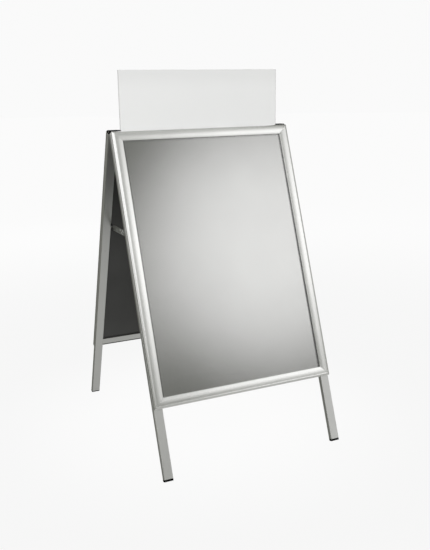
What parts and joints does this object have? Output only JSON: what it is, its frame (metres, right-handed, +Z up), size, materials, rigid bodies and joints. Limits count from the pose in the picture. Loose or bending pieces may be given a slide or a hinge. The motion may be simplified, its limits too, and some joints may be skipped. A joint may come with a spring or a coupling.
{
  "type": "sandwich board",
  "caption": "Folding A-board with two poster snap frames on tube legs, top hinges, folding side stays and a slide-in header panel.",
  "frame": {"origin": "on the floor at the middle of the footprint of the open board", "axes": "+Z up, front poster face towards -Y, +X to the right as seen from the front"},
  "size_m": [0.64, 0.807, 1.2353],
  "materials": {
    "rail": "satin anodised extrusion",
    "leg": "satin anodised tube",
    "panel": "satin galvanised sheet",
    "cover": "clear anti-glare film",
    "black": "moulded black, fine grain",
    "steel": "zinc plated",
    "header": "satin white board"
  },
  "bodies": {
    "front_half": {"front_base_rail_top": "rail", "front_base_rail_right": "rail", "front_base_rail_bottom": "rail", "front_base_rail_left": "rail", "front_corner_key_top_left": "steel", "front_corner_key_top_right": "steel", "front_corner_key_bottom_left": "steel", "front_corner_key_bottom_right": "steel", "front_back_panel": "panel", "front_cover_sheet": "cover", "front_leg_left": "leg", "front_foot_left": "black", "front_hinge_leaf_left": "black", "front_stay_pivot_left": "steel", "front_leg_right": "leg", "front_foot_right": "black", "front_hinge_leaf_right": "black", "front_stay_pivot_right": "steel", "hinge_pin_left": "steel", "hinge_pin_right": "steel"},
    "rear_half": {"rear_base_rail_top": "rail", "rear_base_rail_right": "rail", "rear_base_rail_bottom": "rail", "rear_base_rail_left": "rail", "rear_corner_key_top_left": "steel", "rear_corner_key_top_right": "steel", "rear_corner_key_bottom_left": "steel", "rear_corner_key_bottom_right": "steel", "rear_back_panel": "panel", "rear_cover_sheet": "cover", "rear_leg_left": "leg", "rear_foot_left": "black", "rear_hinge_leaf_left": "black", "rear_stay_pivot_left": "steel", "rear_leg_right": "leg", "rear_foot_right": "black", "rear_hinge_leaf_right": "black", "rear_stay_pivot_right": "steel"},
    "header": {"header_panel": "header"},
    "front_snap_top": {"front_snap_rail_top": "rail"},
    "front_snap_right": {"front_snap_rail_right": "rail"},
    "front_snap_bottom": {"front_snap_rail_bottom": "rail"},
    "front_snap_left": {"front_snap_rail_left": "rail"},
    "rear_snap_top": {"rear_snap_rail_top": "rail"},
    "rear_snap_right": {"rear_snap_rail_right": "rail"},
    "rear_snap_bottom": {"rear_snap_rail_bottom": "rail"},
    "rear_snap_left": {"rear_snap_rail_left": "rail"},
    "front_stay_left": {"front_stay_link_left": "steel", "front_stay_knee_left": "steel"},
    "front_stay_right": {"front_stay_link_right": "steel", "front_stay_knee_right": "steel"},
    "rear_stay_left": {"rear_stay_link_left": "steel", "rear_stay_knee_left": "steel"},
    "rear_stay_right": {"rear_stay_link_right": "steel", "rear_stay_knee_right": "steel"}
  },
  "joints": [
    {"name": "fold", "type": "hinge", "parent": "front_half", "child": "rear_half", "pos_m": [0, 0, 1.04383], "axis": [-1, 0, 0], "range_deg": [0, 40.8]},
    {"name": "header_slide", "type": "slide", "parent": "front_half", "child": "header", "axis": [0, 0, 1], "range_m": [0, 0.035]},
    {"name": "front_snap_top_open", "type": "hinge", "parent": "front_half", "child": "front_snap_top", "pos_m": [0, -0.02635, 1.04414], "axis": [-1, 0, 0], "range_deg": [0, 95], "stiffness_Nm_per_rad": 0.3, "springref_deg": -20.05},
    {"name": "front_snap_right_open", "type": "hinge", "parent": "front_half", "child": "front_snap_right", "pos_m": [0.3171, -0.17993, 0.63117], "axis": [0, 0.3486, 0.9373], "range_deg": [0, 95], "stiffness_Nm_per_rad": 0.3, "springref_deg": -20.05},
    {"name": "front_snap_bottom_open", "type": "hinge", "parent": "front_half", "child": "front_snap_bottom", "pos_m": [0, -0.33351, 0.2182], "axis": [1, 0, 0], "range_deg": [0, 95], "stiffness_Nm_per_rad": 0.3, "springref_deg": -20.05},
    {"name": "front_snap_left_open", "type": "hinge", "parent": "front_half", "child": "front_snap_left", "pos_m": [-0.3171, -0.17993, 0.63117], "axis": [0, -0.3486, -0.9373], "range_deg": [0, 95], "stiffness_Nm_per_rad": 0.3, "springref_deg": -20.05},
    {"name": "rear_snap_top_open", "type": "hinge", "parent": "rear_half", "child": "rear_snap_top", "pos_m": [0, 0.02635, 1.04414], "axis": [1, 0, 0], "range_deg": [0, 95], "stiffness_Nm_per_rad": 0.3, "springref_deg": -20.05},
    {"name": "rear_snap_right_open", "type": "hinge", "parent": "rear_half", "child": "rear_snap_right", "pos_m": [0.3171, 0.17993, 0.63117], "axis": [0, 0.3486, -0.9373], "range_deg": [0, 95], "stiffness_Nm_per_rad": 0.3, "springref_deg": -20.05},
    {"name": "rear_snap_bottom_open", "type": "hinge", "parent": "rear_half", "child": "rear_snap_bottom", "pos_m": [0, 0.33351, 0.2182], "axis": [-1, 0, 0], "range_deg": [0, 95], "stiffness_Nm_per_rad": 0.3, "springref_deg": -20.05},
    {"name": "rear_snap_left_open", "type": "hinge", "parent": "rear_half", "child": "rear_snap_left", "pos_m": [-0.3171, 0.17993, 0.63117], "axis": [0, -0.3486, 0.9373], "range_deg": [0, 95], "stiffness_Nm_per_rad": 0.3, "springref_deg": -20.05},
    {"name": "front_stay_left_swing", "type": "hinge", "parent": "front_half", "child": "front_stay_left", "pos_m": [-0.284, -0.13229, 0.71107], "axis": [1, 0, 0], "range_deg": [0, 66.15]},
    {"name": "front_stay_right_swing", "type": "hinge", "parent": "front_half", "child": "front_stay_right", "pos_m": [0.284, -0.13229, 0.71107], "axis": [1, 0, 0], "range_deg": [0, 66.15]},
    {"name": "rear_stay_left_swing", "type": "hinge", "parent": "rear_half", "child": "rear_stay_left", "pos_m": [-0.284, 0.13229, 0.71107], "axis": [-1, 0, 0], "range_deg": [0, 66.15]},
    {"name": "rear_stay_right_swing", "type": "hinge", "parent": "rear_half", "child": "rear_stay_right", "pos_m": [0.284, 0.13229, 0.71107], "axis": [-1, 0, 0], "range_deg": [0, 66.15]}
  ],
  "couplings": [
    {"joint": "front_stay_left_swing", "follows": "fold", "ratio": 1.6209},
    {"joint": "front_stay_right_swing", "follows": "fold", "ratio": 1.6209},
    {"joint": "rear_stay_left_swing", "follows": "fold", "ratio": 1.6209},
    {"joint": "rear_stay_right_swing", "follows": "fold", "ratio": 1.6209}
  ]
}
